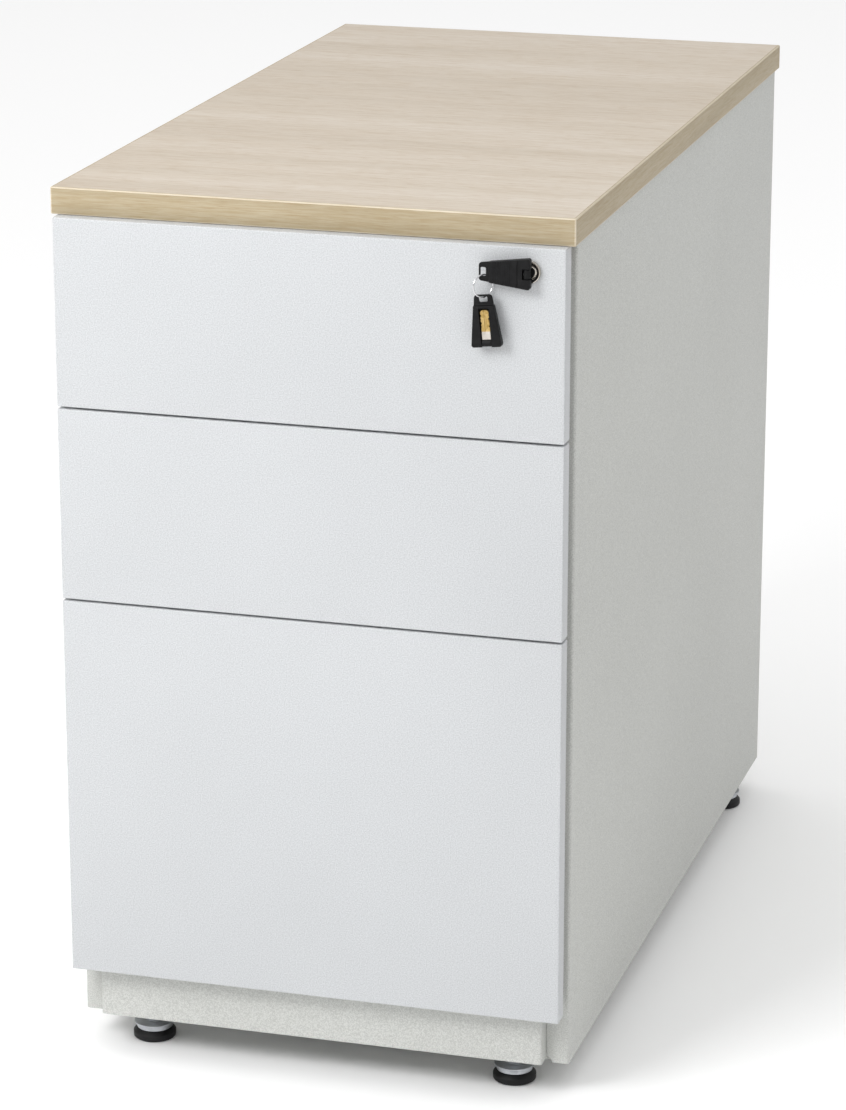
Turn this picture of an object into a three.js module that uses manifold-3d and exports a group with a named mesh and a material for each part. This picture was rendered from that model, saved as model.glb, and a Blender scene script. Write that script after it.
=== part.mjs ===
// A desk-high steel drawer pedestal with a wood-finish worktop: two box drawers over a file drawer,
// a central lock in the top drawer with two folding keys on a ring, and four screw feet.
// Millimetres. +X is to the right and +Z is up. While the parts are made, Y = 0 is the plane of the
// drawer fronts and +Y runs back from it; the whole group is then centred on the floor under it.

import * as THREE from "three";
import { mergeVertices } from "three/addons/utils/BufferGeometryUtils.js";
import Module from "manifold-3d";

const wasm = await Module();
wasm.setup();

// ---- driving dimensions ----

const overallHeight = 740;
const gap = 0.3; // between pieces that touch
const sheet = 1.2; // steel sheet
const foldRadius = 2.4;
const foldSteps = 3;

// Carcass
const bodyHalf = 210;
const bodyFront = 33;
const bodyBack = 800;
const bodyBottom = 29;
const openingHalf = 191; // half the clear width between the front flanges
const rearFlange = 14;
const insideHalf = bodyHalf - sheet - gap;

// Worktop
const worktopHalf = 214;
const worktopFront = 10;
const worktopThickness = 22;
const bandThickness = 2;
const worktopBottom = overallHeight - worktopThickness;
const bodyTop = worktopBottom - gap;

// Drawer fronts, from the lowest up
const frontHalf = 209;
const frontThickness = 17;
const frontGap = 3;
const frontLip = 20; // width of the lip round the pan's open back
const lowestFront = 78;
const drawers = [
  { name: "file", frontHeight: 322, boxHeight: 248, runnerLength: 680, runnerHalf: 22.5 },
  { name: "middle", frontHeight: 158, boxHeight: 100, runnerLength: 580, runnerHalf: 17.5 },
  { name: "top", frontHeight: 152, boxHeight: 100, runnerLength: 580, runnerHalf: 17.5 },
];

// Drawer boxes and the inner front that carries each of them
const innerFrontHalf = 190;
const innerFrontBelow = 11; // the inner front starts this far above the front's lower edge
const innerFrontAbove = 3; // and ends this far below its upper edge
const innerFrontLip = 10;
const boxHalf = 177;
const boxLift = 3;
const boxBehindRunner = 4;

// Runners
const runnerFront = 56;
const runnerOuter = 190.5;
const runnerInner = boxHalf + gap;
const flangeWidth = { fixed: 10, middle: 6.7, movingFull: 8.2, movingSingle: 9.8 };
const middleInset = { web: 2.9, half: 2.4 }; // the middle member, inside the fixed one
const movingInset = { full: 5, single: 3.4 }; // how much less tall half of the moving member is

// Rails for hanging files
const fileRailSize = { inner: 154, outer: 164, thickness: 2, height: 16, aboveBox: 2 };

// Uprights that hold the runners, and the rails that join their tops
const uprightWidth = 30;
const uprightFronts = [60, 600];
const uprightBottom = 31.5;
const railDepth = 40;
const railBottom = 703;
const uprightTop = railBottom - gap;

// Plinth
const plinthFront = 18;
const plinthBottom = 32;
const plinthTop = 88;
const plinthDepth = 40;

// Feet
const feet = [
  { name: "front", x: 158, y: 57 },
  { name: "rear", x: 188, y: 735 },
];
const padRadius = 18;
const padHeight = 9;
const stemRadius = 5;
const stemTop = 62;
const washer = { radius: 15, top: 13 };
const flange = { radius: 17, top: 15 };
const nut = { radius: 9, height: 11 };

// Lock
const lockX = 180.4;
const lockZ = 699;
const rosetteRadius = 9;
const rosetteFront = -3;
const mouthRadius = 7.8; // the opening of the housing, which ends where the plug's shaft starts
const mouthBack = 2.5;
const barrelRadius = 8;
const barrelBack = 34.3;
const faceRadius = 7.5;
const shaftRadius = 5.5;
const keyway = { width: 2.6, height: 7.6, depth: 18 };
const cam = { front: 35, back: 37.2, reach: 20, width: 9, hubRadius: 7, lugRadius: 3.2 };
const drivePin = { radius: 2, orbit: 10, back: 45.5 };
const pinDrop = drivePin.orbit * Math.SQRT1_2; // the pin starts 45 degrees below the level

// Lock bar, which the cam's pin lifts behind the right flange
const bar = { inner: 194, outer: 206, front: 41, back: 44, bottom: 350, top: 700 };
const slottedArmHeight = 12;
const finger = { inner: 181, height: 4, belowInnerFront: 27 };
const guide = { lower: 440, upper: 600, height: 20, thickness: 1.5, room: 2.5 };
const hook = { inner: 182.5, outer: 188, armRise: 20, armHeight: 4, tipRise: 6, tipWidth: 3.5 };
const hookFoot = { thickness: 2, rise: 4 };

// Keys
const keyPlane = -8.5; // the pivots and the ring hang in this plane
const key = { length: 38, end: 3, wideHalf: 12.3, narrowHalf: 7, thickness: 6 };
const tongue = { length: 8, thickness: 1.8 }; // the thin end of a key's head, with the ring's slot
const blade = { length: 26, half: 3.5, thickness: 2, hubRadius: 2.7, hubHalf: 3.8 };
const ringSlot = { fromEnd: 1.2, length: 4.6, half: 3.5 };
const ring = { radius: 9, wire: 0.75, tilt: Math.asin(0.75) };
const secondKeyTilt = THREE.MathUtils.degToRad(5.5);

// ---- finishes ----

const finish = (color, roughness, metalness = 0) => ({ color, roughness, metalness });
const frontPaint = finish(0xdde1e4, 0.55);
const bodyPaint = finish(0xbfc0bb, 0.6);
const woodTop = finish(0xdccdbc, 0.5);
const woodEdge = finish(0xd0bf98, 0.5);
const zinc = finish(0xb9bcc0, 0.35, 1);
const chrome = finish(0xc8c8c8, 0.18, 1);
const brass = finish(0xc9a45a, 0.35, 1);
const blackPlastic = finish(0x252525, 0.6);

// ---- shaping helpers ----

const pedestal = new THREE.Group();

function addPart(name, shape, look) {
  const geometry = shape.isBufferGeometry ? shape : geometryOf(shape);
  const mesh = new THREE.Mesh(geometry, new THREE.MeshStandardMaterial(look));
  mesh.name = name;
  pedestal.add(mesh);
  return mesh;
}

function solidOf(geometry) {
  const bare = geometry.clone();
  bare.deleteAttribute("normal");
  bare.deleteAttribute("uv");
  const merged = mergeVertices(bare, 1e-3);
  const corners = merged.index.array;
  const faces = [];
  for (let i = 0; i < corners.length; i += 3) {
    const [a, b, c] = corners.slice(i, i + 3);
    if (a !== b && b !== c && c !== a) faces.push(a, b, c);
  }
  const vertProperties = merged.attributes.position.array;
  const triVerts = new Uint32Array(faces);
  return new wasm.Manifold(new wasm.Mesh({ numProp: 3, vertProperties, triVerts }));
}

function geometryOf(solid) {
  const { vertProperties, triVerts } = solid.getMesh();
  const geometry = new THREE.BufferGeometry();
  geometry.setAttribute("position", new THREE.BufferAttribute(vertProperties, 3));
  geometry.setIndex(new THREE.BufferAttribute(triVerts, 1));
  return geometry;
}

const joined = (first, ...rest) => rest.reduce((sum, one) => sum.add(solidOf(one)), solidOf(first));

const cut = (solid, ...tools) => tools.reduce((left, tool) => left.subtract(solidOf(tool)), solid);

// A box between two values on each axis, given in either order.
function block([x0, x1], [y0, y1], [z0, z1]) {
  const box = new THREE.BoxGeometry(Math.abs(x1 - x0), y1 - y0, z1 - z0);
  return box.translate((x0 + x1) / 2, (y0 + y1) / 2, (z0 + z1) / 2);
}

const both = (half) => [-half, half];

const extruded = (shape, depth) => new THREE.ExtrudeGeometry(shape, { depth, bevelEnabled: false });

const extrudeUp = (shape, z0, z1) => extruded(shape, z1 - z0).translate(0, 0, z0);

// A shape drawn in X and Z, given a depth in Y.
const extrudeBack = (shape, y0, y1) => extruded(shape, y1 - y0).rotateX(Math.PI / 2).translate(0, y1, 0);

// A shape drawn in Y and Z, given a width in X.
function extrudeAcross(shape, x0, x1) {
  return extruded(shape, x1 - x0).rotateX(Math.PI / 2).rotateZ(Math.PI / 2).translate(x0, 0, 0);
}

const outline = (points) => new THREE.Shape(points.map(([a, b]) => new THREE.Vector2(a, b)));

// The section of a bent sheet: a centre line rounded at each fold, with half the thickness each side.
function bentSheet(folds, thickness = sheet) {
  const at = folds.map(([a, b]) => new THREE.Vector2(a, b));
  const line = new THREE.Path().moveTo(at[0].x, at[0].y);
  for (let i = 1; i < at.length - 1; i++) {
    const before = at[i - 1].clone().sub(at[i]).setLength(foldRadius).add(at[i]);
    const after = at[i + 1].clone().sub(at[i]).setLength(foldRadius).add(at[i]);
    line.lineTo(before.x, before.y);
    line.quadraticCurveTo(at[i].x, at[i].y, after.x, after.y);
  }
  line.lineTo(at.at(-1).x, at.at(-1).y);
  const centre = line.getPoints(foldSteps);
  const across = centre.map((point, i) => {
    const toHere = point.clone().sub(centre[Math.max(i - 1, 0)]);
    const fromHere = centre[Math.min(i + 1, centre.length - 1)].clone().sub(point);
    const first = (i === 0 ? fromHere : toHere).clone().normalize();
    const second = (i === centre.length - 1 ? toHere : fromHere).clone().normalize();
    const mitre = thickness / 2 / (1 + first.dot(second));
    return first.add(second).rotateAround(new THREE.Vector2(), Math.PI / 2).multiplyScalar(mitre);
  });
  const oneSide = centre.map((point, i) => point.clone().add(across[i]));
  const otherSide = centre.map((point, i) => point.clone().sub(across[i]));
  return new THREE.Shape([...oneSide, ...otherSide.reverse()]);
}

// A piece turned about its own axis, with its profile as [radius, height] pairs.
function turned(profile, steps) {
  return new THREE.LatheGeometry(profile.map(([r, h]) => new THREE.Vector2(r, h)), steps);
}

const turnedUpright = (profile, steps) => turned(profile, steps).rotateX(Math.PI / 2);

// A round bar along Y at a point of the X and Z plane.
function barAlongY(radius, x, z, y0, y1, steps = 32) {
  return new THREE.CylinderGeometry(radius, radius, y1 - y0, steps).translate(x, (y0 + y1) / 2, z);
}

// ---- worktop and its edge bands ----

function addWorktop() {
  const core = worktopHalf - bandThickness;
  const front = worktopFront + bandThickness;
  const back = bodyBack - bandThickness;
  const thick = [worktopBottom, overallHeight];
  addPart("worktop", block(both(core), [front, back], thick), woodTop);
  addPart("edge_band_front", block(both(worktopHalf), [worktopFront, front], thick), woodEdge);
  addPart("edge_band_back", block(both(worktopHalf), [back, bodyBack], thick), woodEdge);
  for (const [side, name] of [[-1, "left"], [1, "right"]]) {
    const band = block([side * core, side * worktopHalf], [front, back], thick);
    addPart(`edge_band_${name}`, band, woodEdge);
  }
}

// ---- carcass ----

function sidePanel(side) {
  const half = sheet / 2;
  const section = bentSheet([
    [side * openingHalf, bodyFront + half],
    [side * (bodyHalf - half), bodyFront + half],
    [side * (bodyHalf - half), bodyBack - half],
    [side * (bodyHalf - rearFlange), bodyBack - half],
  ]);
  return extrudeUp(section, bodyBottom, bodyTop);
}

function topRail(front) {
  const half = sheet / 2;
  const section = bentSheet([
    [front + half, railBottom],
    [front + half, bodyTop - half],
    [front + railDepth - half, bodyTop - half],
    [front + railDepth - half, railBottom],
  ]);
  return extrudeAcross(section, -insideHalf, insideHalf);
}

function basePanel() {
  const bottom = bodyBottom + 1;
  const clear = sheet + foldRadius + gap; // past the inside of the side panels' folds
  const nutTop = bottom + nut.height;
  const plate = block(both(insideHalf), [bodyFront + clear, bodyBack - clear], [bottom, bottom + sheet]);
  const nuts = [];
  const bores = [];
  for (const { x, y } of feet) {
    for (const side of [-1, 1]) {
      const at = (radius, z0, z1) =>
        new THREE.CylinderGeometry(radius, radius, z1 - z0, 24)
          .rotateX(Math.PI / 2)
          .translate(side * x, y, (z0 + z1) / 2);
      nuts.push(at(nut.radius, bottom, nutTop));
      bores.push(at(stemRadius + gap, bottom - 1, nutTop + 1));
    }
  }
  return cut(joined(plate, ...nuts), ...bores);
}

function plinth() {
  const half = sheet / 2;
  const outer = openingHalf - gap - half;
  const section = bentSheet([
    [-outer, plinthFront + plinthDepth],
    [-outer, plinthFront + half],
    [outer, plinthFront + half],
    [outer, plinthFront + plinthDepth],
  ]);
  const depth = [plinthFront + half, plinthFront + plinthDepth];
  const lid = block(both(outer), depth, [plinthTop - sheet, plinthTop]);
  return joined(extrudeUp(section, plinthBottom, plinthTop), lid);
}

function upright(side, front) {
  const half = sheet / 2;
  const inner = runnerOuter + gap + half;
  const section = bentSheet([
    [side * insideHalf, front + half],
    [side * inner, front + half],
    [side * inner, front + uprightWidth - half],
    [side * insideHalf, front + uprightWidth - half],
  ]);
  return extrudeUp(section, uprightBottom, uprightTop);
}

function addCarcass() {
  const [frontRow, rearRow] = uprightFronts;
  addPart("top_rail_front", topRail(frontRow), zinc);
  addPart("top_rail_rear", topRail(rearRow), zinc);
  addPart("base_panel", basePanel(), bodyPaint);
  addPart("plinth_panel", plinth(), bodyPaint);
  const back = [bodyBack - gap - 2 * sheet, bodyBack - gap - sheet];
  addPart("back_panel", block(both(insideHalf - foldRadius), back, [bodyBottom + 3, bodyTop]), bodyPaint);
  for (const [side, name] of [[-1, "left"], [1, "right"]]) {
    addPart(`side_panel_${name}`, sidePanel(side), bodyPaint);
    addPart(`upright_front_${name}`, upright(side, frontRow), zinc);
    addPart(`upright_rear_${name}`, upright(side, rearRow), zinc);
  }
}

// ---- feet ----

function addFeet() {
  const pad = turnedUpright([
    [0, 0], [padRadius - 1.8, 0], [padRadius - 0.6, 0.6], [padRadius, 1.8],
    [padRadius, padHeight - 3], [padRadius - 2.2, padHeight], [0, padHeight],
  ], 28);
  const stem = turnedUpright([
    [0, padHeight], [washer.radius, padHeight], [washer.radius, washer.top],
    [flange.radius, washer.top], [flange.radius, flange.top], [stemRadius, flange.top],
    [stemRadius, stemTop - 1], [stemRadius - 1, stemTop], [0, stemTop],
  ], 24);
  for (const { name, x, y } of feet) {
    for (const [side, sideName] of [[-1, "left"], [1, "right"]]) {
      addPart(`foot_pad_${name}_${sideName}`, pad, blackPlastic).position.set(side * x, y, 0);
      addPart(`foot_stem_${name}_${sideName}`, stem, zinc).position.set(side * x, y, 0);
    }
  }
}

// ---- drawers ----

// Heights of each drawer, worked out from the lowest front up.
let level = lowestFront;
for (const drawer of drawers) {
  drawer.bottom = level;
  drawer.top = level + drawer.frontHeight;
  drawer.innerBottom = drawer.bottom + innerFrontBelow;
  drawer.innerTop = drawer.top - innerFrontAbove;
  drawer.boxBottom = drawer.innerBottom + boxLift;
  drawer.boxBack = runnerFront + drawer.runnerLength + boxBehindRunner;
  drawer.runnerLevel = drawer.boxBottom + 0.4 * drawer.boxHeight;
  drawer.fingerLevel = drawer.innerTop - finger.belowInnerFront;
  level = drawer.top + frontGap;
}

// A shallow steel pan with a lip round its open back.
function drawerFront({ bottom, top, innerBottom, innerTop }) {
  const pan = solidOf(block(both(frontHalf), [0, frontThickness], [bottom, top]));
  const inside = [bottom + sheet, top - sheet];
  const hollow = block(both(frontHalf - sheet), [sheet, frontThickness - sheet], inside);
  const mouthHeight = [innerBottom + frontLip / 2, innerTop - frontLip / 2];
  const mouth = block(both(innerFrontHalf - frontLip), [sheet, frontThickness + 1], mouthHeight);
  return cut(pan, hollow, mouth);
}

// The inner front is a channel open to the front pan; the box behind it is narrower, for the runners.
function drawerBox({ innerBottom, innerTop, boxBottom, boxHeight, boxBack }) {
  const channelFront = frontThickness + gap;
  const lipEnd = innerFrontHalf - innerFrontLip;
  const half = sheet / 2;
  const edge = innerFrontHalf - half;
  const web = bodyFront - half;
  const channel = bentSheet([
    [-lipEnd, channelFront + half], [-edge, channelFront + half], [-edge, web],
    [edge, web], [edge, channelFront + half], [lipEnd, channelFront + half],
  ]);
  const cap = block(both(edge), [channelFront + half, bodyFront - half], [innerTop - sheet, innerTop]);
  const walls = bentSheet([
    [-boxHalf + half, bodyFront - half], [-boxHalf + half, boxBack - half],
    [boxHalf - half, boxBack - half], [boxHalf - half, bodyFront - half],
  ]);
  const depth = [bodyFront - half, boxBack - half];
  const floor = block(both(boxHalf - half), depth, [boxBottom, boxBottom + sheet]);
  const boxWalls = extrudeUp(walls, boxBottom, boxBottom + boxHeight);
  return joined(extrudeUp(channel, innerBottom, innerTop), cap, boxWalls, floor);
}

function runnerMember(side, { runnerLevel, runnerLength }, web, flangeEnd, half) {
  const section = bentSheet([
    [side * flangeEnd, runnerLevel + half - sheet / 2],
    [side * web, runnerLevel + half - sheet / 2],
    [side * web, runnerLevel - half + sheet / 2],
    [side * flangeEnd, runnerLevel - half + sheet / 2],
  ]);
  return extrudeBack(section, runnerFront, runnerFront + runnerLength);
}

function addRunners(drawer) {
  const { name, runnerHalf } = drawer;
  const full = name === "file"; // a full-extension runner has a third member
  for (const [side, sideName] of [[-1, "left"], [1, "right"]]) {
    const addMember = (kind, web, flangeEnd, half) => {
      const member = runnerMember(side, drawer, web, flangeEnd, half);
      addPart(`runner_${kind}_${name}_${sideName}`, member, zinc);
    };
    addMember("fixed", runnerOuter - sheet / 2, runnerOuter - flangeWidth.fixed, runnerHalf);
    if (full) {
      const web = runnerOuter - middleInset.web;
      addMember("middle", web, web - flangeWidth.middle, runnerHalf - middleInset.half);
    }
    const flangeEnd = runnerInner + (full ? flangeWidth.movingFull : flangeWidth.movingSingle);
    const inset = full ? movingInset.full : movingInset.single;
    addMember("moving", runnerInner + sheet / 2, flangeEnd, runnerHalf - inset);
  }
}

// A flat rail along the file drawer, with its ends bent in to meet the walls.
function fileRail(side, { boxBottom, boxHeight, boxBack }) {
  const { inner, outer, thickness, height, aboveBox } = fileRailSize;
  const front = bodyFront + gap + thickness / 2;
  const back = boxBack - sheet - gap - thickness / 2;
  const section = bentSheet([
    [side * inner, front], [side * outer, front], [side * outer, back], [side * inner, back],
  ], thickness);
  const top = boxBottom + boxHeight + aboveBox;
  return extrudeUp(section, top - height, top);
}

function addDrawers() {
  for (const drawer of drawers) {
    const hasLock = drawer.name === "top";
    const lockHole = barAlongY(barrelRadius + gap, lockX, lockZ, -1, bodyFront + 1);
    const front = drawerFront(drawer);
    const box = drawerBox(drawer);
    addPart(`drawer_front_${drawer.name}`, hasLock ? cut(front, lockHole) : front, frontPaint);
    addPart(`drawer_box_${drawer.name}`, hasLock ? cut(box, lockHole) : box, bodyPaint);
    addRunners(drawer);
    if (drawer.name === "file") {
      addPart("file_rail_left", fileRail(-1, drawer), zinc);
      addPart("file_rail_right", fileRail(1, drawer), zinc);
    }
  }
}

// ---- lock ----

function lockHousing() {
  const bore = shaftRadius + gap;
  const lead = rosetteFront + 0.4;
  return turned([
    [mouthRadius, lead], [rosetteRadius - 0.8, rosetteFront - 0.2], [rosetteRadius, rosetteFront + 0.6],
    [rosetteRadius, -gap], [barrelRadius, -gap], [barrelRadius, barrelBack], [bore, barrelBack],
    [bore, mouthBack], [mouthRadius, mouthBack], [mouthRadius, lead],
  ], 32).translate(lockX, 0, lockZ);
}

function lockPlug() {
  const face = rosetteFront + 0.4;
  const headBack = mouthBack - gap;
  const back = barrelBack + 0.4;
  const plug = turned([
    [0, face], [faceRadius - 0.4, face], [faceRadius, face + 0.4], [faceRadius, headBack],
    [shaftRadius, headBack], [shaftRadius, back], [0, back],
  ], 32).translate(lockX, 0, lockZ);
  const slot = block(
    [lockX - keyway.width / 2, lockX + keyway.width / 2], [face - 1, keyway.depth],
    [lockZ - keyway.height / 2, lockZ + keyway.height / 2],
  );
  return cut(solidOf(plug), slot);
}

// A plate on the back of the plug, hanging down when unlocked, with a pin that drives the lock bar.
function lockCam() {
  const pinX = lockX + pinDrop;
  const pinZ = lockZ - pinDrop;
  const hub = barAlongY(cam.hubRadius, lockX, lockZ, cam.front, cam.back);
  const armWide = [lockX - cam.width / 2, lockX + cam.width / 2];
  const arm = block(armWide, [cam.front, cam.back], [lockZ - cam.reach, lockZ]);
  const lug = barAlongY(cam.lugRadius, pinX, pinZ, cam.front, cam.back);
  const pin = barAlongY(drivePin.radius, pinX, pinZ, cam.front, drivePin.back, 20);
  return joined(hub, arm, lug, pin);
}

// A flat bar with one finger for each lower drawer and a slotted arm for the pin.
function lockBar() {
  const armLow = lockZ - pinDrop - slottedArmHeight / 2;
  const armHigh = armLow + slottedArmHeight;
  const inwards = drawers.filter(({ name }) => name !== "top").flatMap(({ fingerLevel }) => [
    [bar.inner, fingerLevel], [finger.inner, fingerLevel],
    [finger.inner, fingerLevel + finger.height], [bar.inner, fingerLevel + finger.height],
  ]);
  const shape = outline([
    [bar.outer, bar.bottom], [bar.outer, bar.top], [bar.inner, bar.top],
    [bar.inner, armHigh], [finger.inner, armHigh], [finger.inner, armLow], [bar.inner, armLow],
    ...inwards.reverse(), [bar.inner, bar.bottom],
  ]);
  const slotRadius = drivePin.radius + gap;
  const slotLevel = (armLow + armHigh) / 2;
  const slot = new THREE.Path();
  slot.absarc(lockX + drivePin.orbit, slotLevel, slotRadius, Math.PI / 2, -Math.PI / 2, true);
  slot.absarc(lockX + pinDrop, slotLevel, slotRadius, -Math.PI / 2, -Math.PI * 1.5, true);
  shape.holes.push(slot);
  return extrudeBack(shape, bar.front, bar.back);
}

function barGuide(bottom) {
  const web = insideHalf - guide.thickness / 2;
  const end = bar.inner - 2;
  const front = bar.front - guide.room;
  const back = bar.back + guide.room;
  const section = bentSheet([[end, front], [web, front], [web, back], [end, back]], guide.thickness);
  return extrudeUp(section, bottom, bottom + guide.height);
}

// A hook on the back of a drawer's inner front that the raised finger stands inside.
function lockCatch({ fingerLevel }) {
  const front = bodyFront + gap;
  const footBack = front + hookFoot.thickness;
  const arm = fingerLevel + hook.armRise;
  const armTop = arm + hook.armHeight;
  const tip = bar.back + guide.room;
  const tipBack = tip + hook.tipWidth;
  const tipLow = fingerLevel + hook.tipRise;
  const shape = outline([
    [front, fingerLevel + hookFoot.rise], [footBack, fingerLevel + hookFoot.rise], [footBack, arm],
    [tip, arm], [tip, tipLow], [tipBack, tipLow], [tipBack, armTop],
    [footBack, armTop], [footBack, armTop + 2], [front, armTop + 2],
  ]);
  return extrudeAcross(shape, hook.inner, hook.outer);
}

function addLock() {
  addPart("lock_housing", lockHousing(), chrome);
  addPart("lock_plug", lockPlug(), blackPlastic);
  addPart("lock_cam", lockCam(), zinc);
  addPart("lock_bar", lockBar(), zinc);
  addPart("lock_bar_guide_lower", barGuide(guide.lower), zinc);
  addPart("lock_bar_guide_upper", barGuide(guide.upper), zinc);
  for (const drawer of drawers.filter(({ name }) => name !== "top")) {
    addPart(`lock_catch_${drawer.name}`, lockCatch(drawer), zinc);
  }
}

// ---- keys: each lies along -X from its pivot, with its blade folded into the face at +Y ----

function keyHead() {
  const { length, end, wideHalf, narrowHalf, thickness } = key;
  const corner = 2;
  const grip = outline([
    [end, -wideHalf + corner], [end, wideHalf - corner], [end - corner, wideHalf],
    [-length + corner, narrowHalf], [-length, narrowHalf - corner],
    [-length, -narrowHalf + corner], [-length + corner, -narrowHalf], [end - corner, -wideHalf],
  ]);
  const faces = both(thickness / 2);
  const thinned = [-length - 1, -length + tongue.length];
  const thinning = [
    block(thinned, [-thickness, -tongue.thickness / 2], both(wideHalf)),
    block(thinned, [tongue.thickness / 2, thickness], both(wideHalf)),
  ];
  const hubSpace = blade.hubHalf + gap;
  const hubSlot = block([-blade.hubRadius - 0.5, end + 1], both(thickness), both(hubSpace));
  const pocketDepth = [-blade.thickness / 2 - gap, thickness];
  const pocket = block([-blade.length - 1.5, 0], pocketDepth, both(hubSpace));
  const slotEnd = -length + ringSlot.fromEnd;
  const hole = block([slotEnd, slotEnd + ringSlot.length], both(thickness), both(ringSlot.half));
  return cut(solidOf(extrudeBack(grip, ...faces)), ...thinning, hubSlot, pocket, hole);
}

function keyBlade() {
  const { length, half, thickness, hubRadius, hubHalf } = blade;
  const hub = new THREE.CylinderGeometry(hubRadius, hubRadius, 2 * hubHalf, 24).rotateX(Math.PI / 2);
  const point = 3;
  const flat = outline([
    [0, -half], [0, half], [-length + point, half], [-length, half - point],
    [-length, -half + point], [-length + point, -half],
  ]);
  return joined(extrudeBack(flat, ...both(thickness / 2)), hub);
}

function addKeys() {
  const head = geometryOf(keyHead());
  const shank = geometryOf(keyBlade());
  addPart("key_1_head", head, blackPlastic).position.set(lockX, keyPlane, lockZ);
  const inLock = addPart("key_1_blade", shank, brass);
  inLock.position.set(lockX, keyPlane, lockZ);
  inLock.rotation.z = -Math.PI / 2;

  const slotMiddle = lockX - key.length + ringSlot.fromEnd + ringSlot.length / 2;
  const slotLow = lockZ - ringSlot.half;
  const ringZ = slotLow + gap + ring.wire - ring.radius;
  const hoop = new THREE.TorusGeometry(ring.radius, ring.wire, 8, 36)
    .rotateX(Math.PI / 2)
    .rotateZ(ring.tilt);
  addPart("key_ring", hoop.translate(slotMiddle, keyPlane, ringZ), chrome);

  const hanging = new THREE.Group();
  hanging.position.set(slotMiddle, keyPlane, ringZ - ring.radius);
  hanging.rotation.y = -secondKeyTilt;
  const drop = key.length - ringSlot.fromEnd - gap - ring.wire;
  const second = [["key_2_head", head, blackPlastic], ["key_2_blade", shank, brass]];
  for (const [name, shape, look] of second) {
    const piece = addPart(name, shape, look);
    piece.rotation.set(Math.PI, Math.PI / 2, 0, "YXZ");
    piece.position.z = -drop;
    hanging.add(piece);
  }
  pedestal.add(hanging);
}

addWorktop();
addCarcass();
addFeet();
addDrawers();
addLock();
addKeys();

// The origin is the middle of the whole object on the floor, keys included.
const keysInFront = -keyPlane + ring.radius * Math.sin(ring.tilt) + ring.wire;
pedestal.position.y = -(bodyBack - keysInFront) / 2;

export default pedestal;
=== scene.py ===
import math
from collections import Counter

import bpy
from mathutils import Matrix, Vector


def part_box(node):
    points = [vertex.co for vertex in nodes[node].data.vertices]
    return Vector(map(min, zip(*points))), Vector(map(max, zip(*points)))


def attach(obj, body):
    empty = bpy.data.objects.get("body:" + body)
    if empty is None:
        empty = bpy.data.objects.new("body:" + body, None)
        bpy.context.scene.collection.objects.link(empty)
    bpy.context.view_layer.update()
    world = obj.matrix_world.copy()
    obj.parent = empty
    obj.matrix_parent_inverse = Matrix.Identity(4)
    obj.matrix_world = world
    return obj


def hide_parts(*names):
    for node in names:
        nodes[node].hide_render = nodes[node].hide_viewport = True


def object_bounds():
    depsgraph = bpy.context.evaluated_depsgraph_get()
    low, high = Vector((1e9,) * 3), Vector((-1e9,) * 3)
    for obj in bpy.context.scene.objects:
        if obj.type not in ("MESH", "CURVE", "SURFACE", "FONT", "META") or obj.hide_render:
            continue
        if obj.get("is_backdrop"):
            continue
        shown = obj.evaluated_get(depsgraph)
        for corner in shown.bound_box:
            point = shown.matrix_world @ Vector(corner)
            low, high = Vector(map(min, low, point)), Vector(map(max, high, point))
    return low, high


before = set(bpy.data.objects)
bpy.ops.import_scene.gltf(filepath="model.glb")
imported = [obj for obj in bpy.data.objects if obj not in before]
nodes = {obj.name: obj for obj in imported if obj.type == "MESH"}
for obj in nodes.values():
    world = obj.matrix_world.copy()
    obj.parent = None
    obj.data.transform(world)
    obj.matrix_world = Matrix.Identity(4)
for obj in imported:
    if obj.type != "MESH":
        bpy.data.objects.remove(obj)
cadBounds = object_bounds()
mm = 0.001
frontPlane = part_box("drawer_front_top")[0].y  # the faces of the drawers
print("frame loaded,", len(nodes), "CAD nodes")


def at(across, back, up):  # millimetres from the middle, behind the drawer faces and above the floor
    return Vector((across * mm, frontPlane + back * mm, up * mm))


def activate(piece=None):  # object mode, with nothing or one piece selected
    if bpy.context.object and bpy.context.object.mode != "OBJECT":
        bpy.ops.object.mode_set(mode="OBJECT")
    bpy.ops.object.select_all(action="DESELECT")
    if piece:
        piece.select_set(True)
        bpy.context.view_layer.objects.active = piece


def pick(piece, kind, test):  # opens a piece in edit mode with what passes the test selected
    activate(piece)
    mesh = piece.data
    for group in (mesh.vertices, mesh.edges, mesh.polygons):
        group.foreach_set("select", [False] * len(group))
    kinds = {"VERT": mesh.vertices, "EDGE": mesh.edges, "FACE": mesh.polygons}
    for element in kinds[kind]:
        element.select = test(element)
    bpy.context.tool_settings.mesh_select_mode = [kind == name for name in kinds]
    bpy.ops.object.mode_set(mode="EDIT")


def facing(*direction):  # a test for faces that look one way
    return lambda face: face.normal.dot(Vector(direction)) > 0.9


def edgeEnds(piece, edge):
    return [piece.data.vertices[i].co for i in edge.vertices]


def addBlock(name, low, high):  # a cube sized and placed between two corners
    activate()
    low, high = Vector(low), Vector(high)
    bpy.ops.mesh.primitive_cube_add(size=1, location=(low + high) / 2, scale=high - low)
    piece = bpy.context.object
    piece.name = name
    bpy.ops.object.transform_apply(location=True, rotation=True, scale=True)
    return piece


def applyModifier(piece, kind, **settings):
    activate(piece)
    modifier = piece.modifiers.new(kind.title(), kind)
    for name, value in settings.items():
        setattr(modifier, name, value)
    bpy.ops.object.modifier_apply(modifier=modifier.name)
    return piece


def easeEdges(piece, width, steps=2, angle=40):  # softens every edge sharper than the angle
    limit = math.radians(angle)
    return applyModifier(piece, "BEVEL", width=width * mm, segments=steps, angle_limit=limit)


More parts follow.
